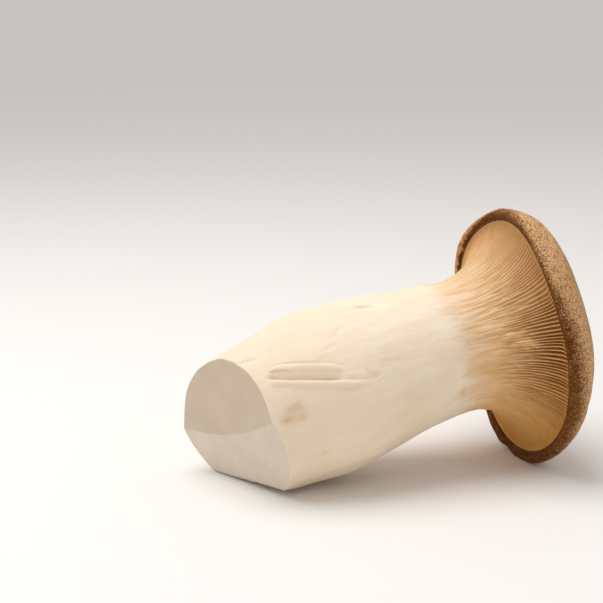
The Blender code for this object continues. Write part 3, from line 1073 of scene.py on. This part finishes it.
def skin_finish():
    """Cap: tan skin stippled with dark brown, darker and smoother at the rolled margin, whose brown band
    is partly its own colour and partly painted shade.
    """
    f = Finish("mushroom_cap_skin")
    soft_flesh(f, weight=0.06, roughness=0.6, gloss=0.04)
    place = f.attribute("place", "Vector")
    cloud = f.noise(place, scale=110.0)
    speck = f.noise(place, scale=2300.0, detail=2.0, rough=0.6)
    fleck = f.noise(place, scale=620.0, detail=4.0, rough=0.7)
    mottle = f.noise(place, scale=240.0, detail=5.0, rough=0.65)
    fibril = f.noise(f.around(place), scale=26.0, detail=4.0, rough=0.65)
    crown = f.reach(f.part(place, "X"), *CROWN_SPAN)

    skin = f.mix(f.reach(cloud, *CLOUD_SPAN), *TAN)
    skin = f.mix(f.maths("MULTIPLY", crown, CROWN_STRENGTH), skin, CROWN_BROWN)
    skin = f.mix(f.maths("MULTIPLY", crown, f.reach(fibril, *FIBRIL_SPAN)), skin, FIBRIL_BROWN)
    skin = f.mix(f.maths("MULTIPLY", crown, f.reach(mottle, *MOTTLE_SPAN)), skin, MOTTLE_BROWN)
    skin = f.mix(f.reach(fleck, *FLECK_SPAN), skin, SPECK_BROWN)
    specked = f.maths("MULTIPLY", f.reach(speck, *SPECK_SPAN), f.reach(crown, *FEWER_SPECKS_SPAN))
    skin = f.mix(specked, skin, SPECK_BROWN)
    edge = f.maths("ADD", f.attribute("band"), f.maths("MULTIPLY", speck, BAND_SPECKS))
    # the brown band at the margin, partly painted shade
    dark = f.mix(f.reach(fleck, *DARK_SPAN), *BAND_BROWN_AND_SHADE)
    f.fill(f.mix(f.reach(edge, *BAND_SPAN), skin, dark))

    height = f.maths("ADD", fleck, f.maths("MULTIPLY", speck, FINE_RELIEF))
    f.roughen(height, distance=0.10 * MM, strength=0.6)
    return f.material


def cut_finish():
    """Knife-cut flesh: a little darker than the skin, by painted shade, and drier, with a fine open
    grain; the lower cut is painted lighter, as lit from the floor.
    """
    f = Finish("mushroom_cut_flesh")
    soft_flesh(f, weight=0.3, roughness=0.8, gloss=0.15)
    place = f.attribute("place", "Vector")
    cloud = f.reach(f.noise(place, scale=150.0, detail=4.0), *CLOUD_SPAN)
    grain = f.noise(place, scale=1400.0, rough=0.65)
    # painted shade on the first cut, painted light on the lower one
    colour = f.mix(f.attribute("facet"), f.mix(cloud, *CUT_FIRST_SHADED), f.mix(cloud, *CUT_LOWER_LIT))
    f.fill(f.mix(f.reach(grain, *CUT_GRAIN_SPAN), colour, CUT_GRAIN_COLOUR))
    f.roughen(grain, distance=0.12 * MM, strength=0.6)
    return f.material


body = build_body((flesh_finish(), skin_finish(), cut_finish()))
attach(body, "root")
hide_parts("mushroom")

# Floor, light and camera

FLOOR_SIZE = 1000.0  # so wide that its far edge is never seen
FLOOR_COLOUR = (0.85, 0.82, 0.79, 1.0)
FLOOR_ROUGHNESS = 0.9
SKY_COLOUR = (1.0, 1.0, 1.0, 1.0)
SKY_STRENGTH = 0.65
KEY_SIZE = 0.55
KEY_PLACE = Vector((-0.18, 0.06, 0.62))
KEY_POWER = 2.75

floor_mesh = bpy.data.meshes.new("floor")
half = FLOOR_SIZE / 2
corners = [(-half, -half, 0.0), (half, -half, 0.0), (half, half, 0.0), (-half, half, 0.0)]
floor_mesh.from_pydata(corners, [], [(0, 1, 2, 3)])
floor = bpy.data.objects.new("floor", floor_mesh)
bpy.context.collection.objects.link(floor)
paper = Finish("pale_paper")
paper.shader.inputs["Base Color"].default_value = FLOOR_COLOUR
paper.shader.inputs["Roughness"].default_value = FLOOR_ROUGHNESS
floor_mesh.materials.append(paper.material)

sky = bpy.data.worlds.new("studio")
sky.use_nodes = True
sky.node_tree.nodes["Background"].inputs["Color"].default_value = SKY_COLOUR
sky.node_tree.nodes["Background"].inputs["Strength"].default_value = SKY_STRENGTH
bpy.context.scene.world = sky

lamp = bpy.data.lights.new("key", "AREA")
lamp.shape = "DISK"
lamp.size = KEY_SIZE
lamp.energy = KEY_POWER
key = bpy.data.objects.new("key", lamp)
key.location = KEY_PLACE
key.rotation_euler = (-KEY_PLACE).to_track_quat("-Z", "Y").to_euler()
bpy.context.collection.objects.link(key)

PICTURE_SIZE = 603
LENS = 85.0
SENSOR = 36.0
AZIMUTH = math.radians(-18.74)
ELEVATION = math.radians(12.0)
DISTANCE = 0.3940
SEEN_POINT = Vector((0.04488, -0.00013, 0.03677))  # a point in front of the camera
SEEN_AT = (541.0, 327.6)  # and the pixel that shows it


def place_camera():
    """The photo's camera, put where it shows SEEN_POINT at the pixel SEEN_AT."""
    right = Vector((math.cos(AZIMUTH), math.sin(AZIMUTH), 0.0))
    level = math.cos(ELEVATION)
    back = Vector((math.sin(AZIMUTH) * level, -math.cos(AZIMUTH) * level, math.sin(ELEVATION)))
    up = back.cross(right)
    pixel = DISTANCE * SENSOR / LENS / PICTURE_SIZE
    centre = PICTURE_SIZE / 2
    offset = right * ((SEEN_AT[0] - centre) * pixel) + up * ((centre - SEEN_AT[1]) * pixel)
    lens = bpy.data.cameras.new("camera")
    lens.lens = LENS
    lens.sensor_width = SENSOR
    camera = bpy.data.objects.new("camera", lens)
    turned = Matrix((right, up, back)).transposed()
    camera.matrix_world = Matrix.Translation(SEEN_POINT - offset + back * DISTANCE) @ turned.to_4x4()
    bpy.context.collection.objects.link(camera)
    return camera


bpy.context.scene.camera = place_camera()
bpy.context.scene.view_settings.view_transform = "Standard"

bpy.context.view_layer.update()
